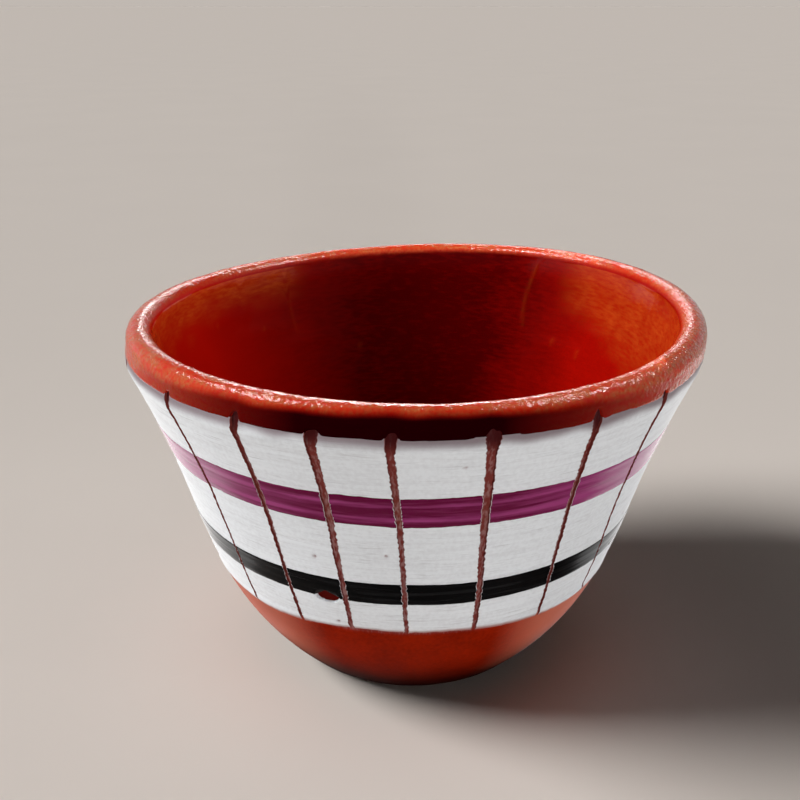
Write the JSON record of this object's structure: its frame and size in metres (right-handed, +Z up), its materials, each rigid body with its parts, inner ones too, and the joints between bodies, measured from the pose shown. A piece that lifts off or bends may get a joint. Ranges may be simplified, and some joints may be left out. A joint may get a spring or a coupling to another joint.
{
  "type": "arabic coffee cup",
  "caption": "Small handleless coffee cup in red earthenware: flared wall, rounded lip, red glazed inside, white slip outside with purple and black stripes cut by scratched upright lines.",
  "frame": {"origin": "centre of the foot's flat underside, on the table", "axes": "+Z up the cup's axis through the mouth, -Y the side that the picture shows, +X to that view's right"},
  "size_m": [0.076, 0.076, 0.05],
  "materials": {
    "red_clay": "fired red earthenware under a thin clear glaze",
    "red_glaze": "glossy red-brown glaze",
    "white_slip": "brushed white slip under a thin clear glaze",
    "purple_paint": "streaky brushed underglaze paint, glossy",
    "black_paint": "brushed underglaze paint, glossy"
  },
  "bodies": {
    "root": {"clay_body": "red_clay", "red_glaze_lining": "red_glaze", "white_slip_coat": "white_slip", "purple_stripe_01": "purple_paint", "purple_stripe_02": "purple_paint", "purple_stripe_03": "purple_paint", "purple_stripe_04": "purple_paint", "purple_stripe_05": "purple_paint", "purple_stripe_06": "purple_paint", "purple_stripe_07": "purple_paint", "purple_stripe_08": "purple_paint", "purple_stripe_09": "purple_paint", "purple_stripe_10": "purple_paint", "purple_stripe_11": "purple_paint", "purple_stripe_12": "purple_paint", "purple_stripe_13": "purple_paint", "purple_stripe_14": "purple_paint", "purple_stripe_15": "purple_paint", "purple_stripe_16": "purple_paint", "purple_stripe_17": "purple_paint", "purple_stripe_18": "purple_paint", "purple_stripe_19": "purple_paint", "purple_stripe_20": "purple_paint", "purple_stripe_21": "purple_paint", "purple_stripe_22": "purple_paint", "purple_stripe_23": "purple_paint", "black_stripe_01": "black_paint", "black_stripe_02": "black_paint", "black_stripe_03": "black_paint", "black_stripe_04": "black_paint", "black_stripe_05": "black_paint", "black_stripe_06": "black_paint", "black_stripe_07": "black_paint", "black_stripe_08": "black_paint", "black_stripe_09": "black_paint", "black_stripe_10": "black_paint", "black_stripe_11": "black_paint", "black_stripe_12": "black_paint", "black_stripe_13": "black_paint", "black_stripe_14": "black_paint", "black_stripe_15": "black_paint", "black_stripe_16": "black_paint", "black_stripe_17": "black_paint", "black_stripe_18": "black_paint", "black_stripe_19": "black_paint", "black_stripe_20": "black_paint", "black_stripe_21": "black_paint", "black_stripe_22": "black_paint", "black_stripe_23": "black_paint"}
  },
  "joints": []
}
